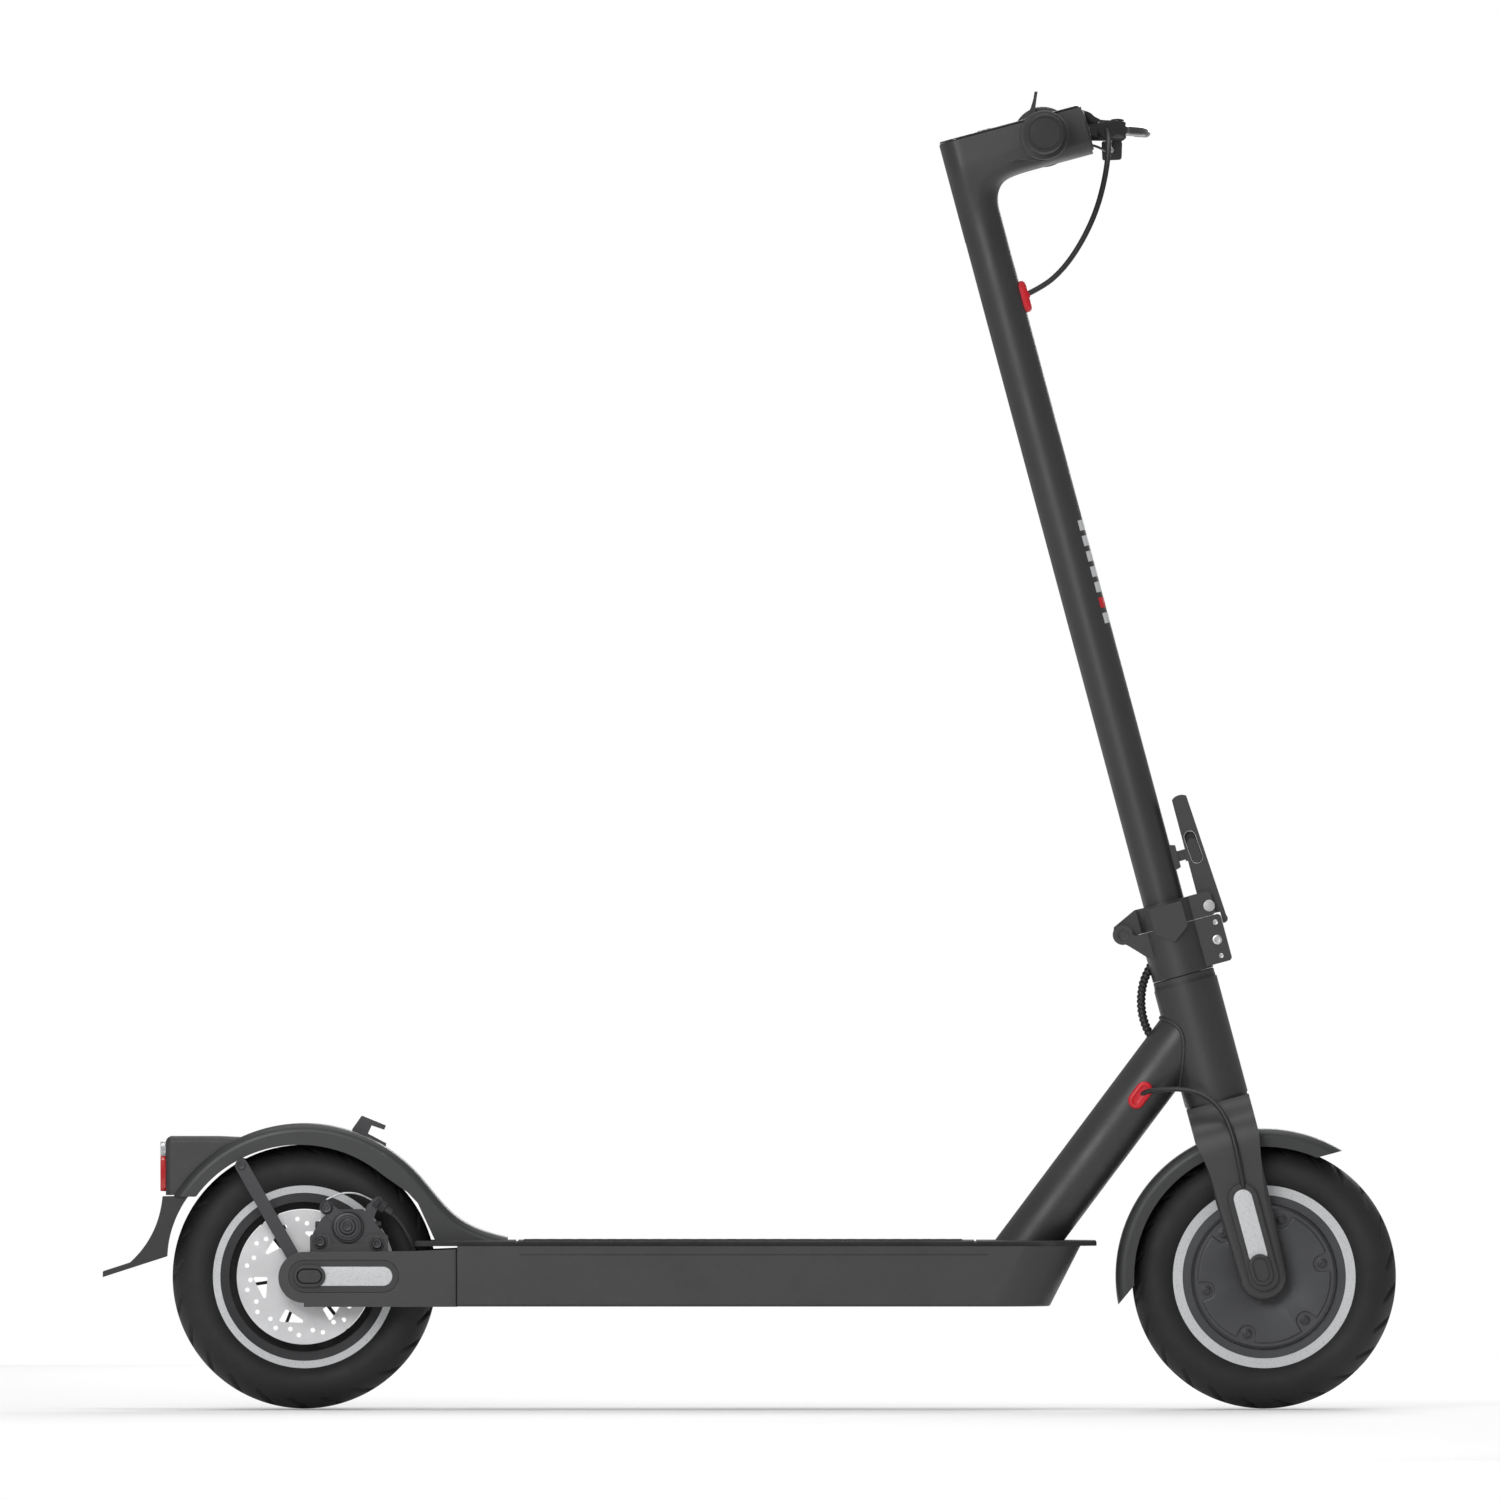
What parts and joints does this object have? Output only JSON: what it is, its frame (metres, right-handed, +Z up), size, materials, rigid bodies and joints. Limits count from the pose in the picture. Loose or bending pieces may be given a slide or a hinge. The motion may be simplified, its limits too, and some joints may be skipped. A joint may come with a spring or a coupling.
{
  "type": "electric kick scooter",
  "caption": "Folding electric kick scooter with a hub motor in the front wheel, a rear disc brake, a long deck, a raked stem and hand controls.",
  "frame": {"origin": "on the ground under the middle of the overall box, in the scooter's centre plane", "axes": "+X forward, +Y to the rider's left, +Z up"},
  "size_m": [1.0773, 0.43, 1.0982],
  "materials": {
    "frame_black": "satin",
    "deck_rubber": "ribbed matte",
    "deck_paint": "fine matte",
    "plastic_black": "fine moulded grain",
    "gloss_black": "gloss",
    "tyre_black": "matte",
    "pale_ring": "retroreflective",
    "motor_grey": "dark anodised",
    "rim_black": "black anodised",
    "steel": "brushed",
    "dark_steel": "black oxide",
    "bearing_steel": "ground",
    "red_rubber": "satin",
    "grip_rubber": "patterned",
    "cable_black": "satin",
    "lens_red": "clear",
    "lens_clear": "clear",
    "battery_blue": "shrink wrap"
  },
  "bodies": {
    "frame": {"frame_tubes": "frame_black", "headset_bearings": "bearing_steel", "deck_shell": "deck_paint", "deck_bottom": "deck_paint", "battery_pack": "battery_blue", "controller": "dark_steel", "deck_mat": "deck_rubber", "rear_arms": "frame_black", "rear_axle": "steel", "arm_covers": "plastic_black", "rear_fender": "plastic_black", "fender_brackets": "dark_steel", "tail_lamp_housing": "plastic_black", "tail_lens": "lens_red", "splash_flap": "cable_black", "caliper_body": "dark_steel", "caliper_hardware": "steel", "rear_brake_cable": "cable_black", "head_cables": "cable_black", "cable_grommet": "red_rubber", "charge_port": "plastic_black", "kickstand_bracket": "frame_black"},
    "fork": {"fork": "frame_black", "front_axle": "steel", "fork_covers": "plastic_black", "front_fender": "plastic_black", "fold_block": "frame_black", "fold_hardware": "steel"},
    "front_wheel": {"front_tyre": "tyre_black", "front_tyre_rings": "pale_ring", "hub_motor": "motor_grey", "hub_covers": "motor_grey", "front_bearings": "bearing_steel"},
    "rear_wheel": {"rear_tyre": "tyre_black", "rear_tyre_rings": "pale_ring", "rear_rim": "rim_black", "brake_rotor": "steel", "rear_bearings": "bearing_steel"},
    "stem": {"stem_tube": "frame_black", "fold_collar": "frame_black", "stem_head": "frame_black", "display_cover": "gloss_black", "headlight_lens": "lens_clear", "stem_grommet": "red_rubber", "handlebar": "frame_black", "grips": "grip_rubber", "throttle_housing": "plastic_black", "brake_perch": "gloss_black", "bell_body": "plastic_black", "upper_brake_cable": "cable_black"},
    "fold_lever": {"fold_lever": "frame_black"},
    "lock_slider": {"lock_slider": "plastic_black"},
    "throttle_paddle": {"throttle_paddle": "plastic_black"},
    "brake_lever": {"brake_lever": "frame_black"},
    "bell_lever": {"bell_lever": "plastic_black"},
    "mode_button": {"mode_button": "plastic_black"},
    "caliper_arm": {"caliper_arm": "dark_steel"},
    "moving_pad": {"moving_pad": "dark_steel"},
    "kickstand": {"kickstand": "frame_black"},
    "charge_cap": {"charge_cap": "cable_black"}
  },
  "joints": [
    {"name": "steering", "type": "hinge", "parent": "frame", "child": "fork", "pos_m": [0.4285, 0, 0.11], "axis": [-0.2588, 0, 0.9659], "range_deg": [-45, 45], "deforming": ["head_cables"]},
    {"name": "stem_fold", "type": "hinge", "parent": "fork", "child": "stem", "pos_m": [0.31082, 0, 0.39464], "axis": [0, -1, 0], "range_deg": [0, 88]},
    {"name": "fold_lever_swing", "type": "hinge", "parent": "stem", "child": "fold_lever", "pos_m": [0.38252, 0, 0.41913], "axis": [0, 1, 0], "range_deg": [0, 75]},
    {"name": "lock_slide", "type": "slide", "parent": "fold_lever", "child": "lock_slider", "axis": [-0.3256, 0, 0.9455], "range_m": [0, 0.006], "stiffness_N_per_m": 400, "springref_m": -0.003},
    {"name": "front_wheel_spin", "type": "hinge", "parent": "fork", "child": "front_wheel", "pos_m": [0.4285, 0, 0.11], "axis": [0, 1, 0], "continuous": true},
    {"name": "rear_wheel_spin", "type": "hinge", "parent": "frame", "child": "rear_wheel", "pos_m": [-0.371, 0, 0.11], "axis": [0, 1, 0], "continuous": true},
    {"name": "throttle_push", "type": "hinge", "parent": "stem", "child": "throttle_paddle", "pos_m": [0.24471, -0.0541, 1.06021], "axis": [0, -1, 0], "range_deg": [0, 32], "stiffness_Nm_per_rad": 0.15, "springref_deg": -20.05},
    {"name": "brake_pull", "type": "hinge", "parent": "stem", "child": "brake_lever", "pos_m": [0.3068, 0.074, 1.0665], "axis": [0.0523, 0, 0.9986], "range_deg": [0, 20], "stiffness_Nm_per_rad": 0.8, "springref_deg": -20.05},
    {"name": "caliper_arm_turn", "type": "hinge", "parent": "frame", "child": "caliper_arm", "pos_m": [-0.3348, -0.053, 0.1522], "axis": [0, 1, 0], "range_deg": [0, 20], "deforming": ["rear_brake_cable"]},
    {"name": "pad_press", "type": "slide", "parent": "frame", "child": "moving_pad", "axis": [0, 1, 0], "range_m": [0, 0.00055]},
    {"name": "bell_flick", "type": "hinge", "parent": "stem", "child": "bell_lever", "pos_m": [0.24471, 0.046, 1.06021], "axis": [0, 1, 0], "range_deg": [0, 25], "stiffness_Nm_per_rad": 0.08, "springref_deg": -17.19},
    {"name": "mode_press", "type": "slide", "parent": "stem", "child": "mode_button", "axis": [0.2588, 0, -0.9659], "range_m": [0, 0.0012], "stiffness_N_per_m": 900, "springref_m": -0.0006},
    {"name": "kickstand_swing", "type": "hinge", "parent": "frame", "child": "kickstand", "pos_m": [0.062, 0.078, 0.0975], "axis": [0.2425, -0.9701, 0], "range_deg": [0, 100]},
    {"name": "charge_cap_swing", "type": "hinge", "parent": "frame", "child": "charge_cap", "pos_m": [0.165, 0.0772, 0.1265], "axis": [1, 0, 0], "range_deg": [0, 120]}
  ],
  "couplings": [
    {"joint": "caliper_arm_turn", "follows": "brake_pull", "ratio": 1},
    {"joint": "pad_press", "follows": "brake_pull", "m_per_rad": 0.001576}
  ]
}
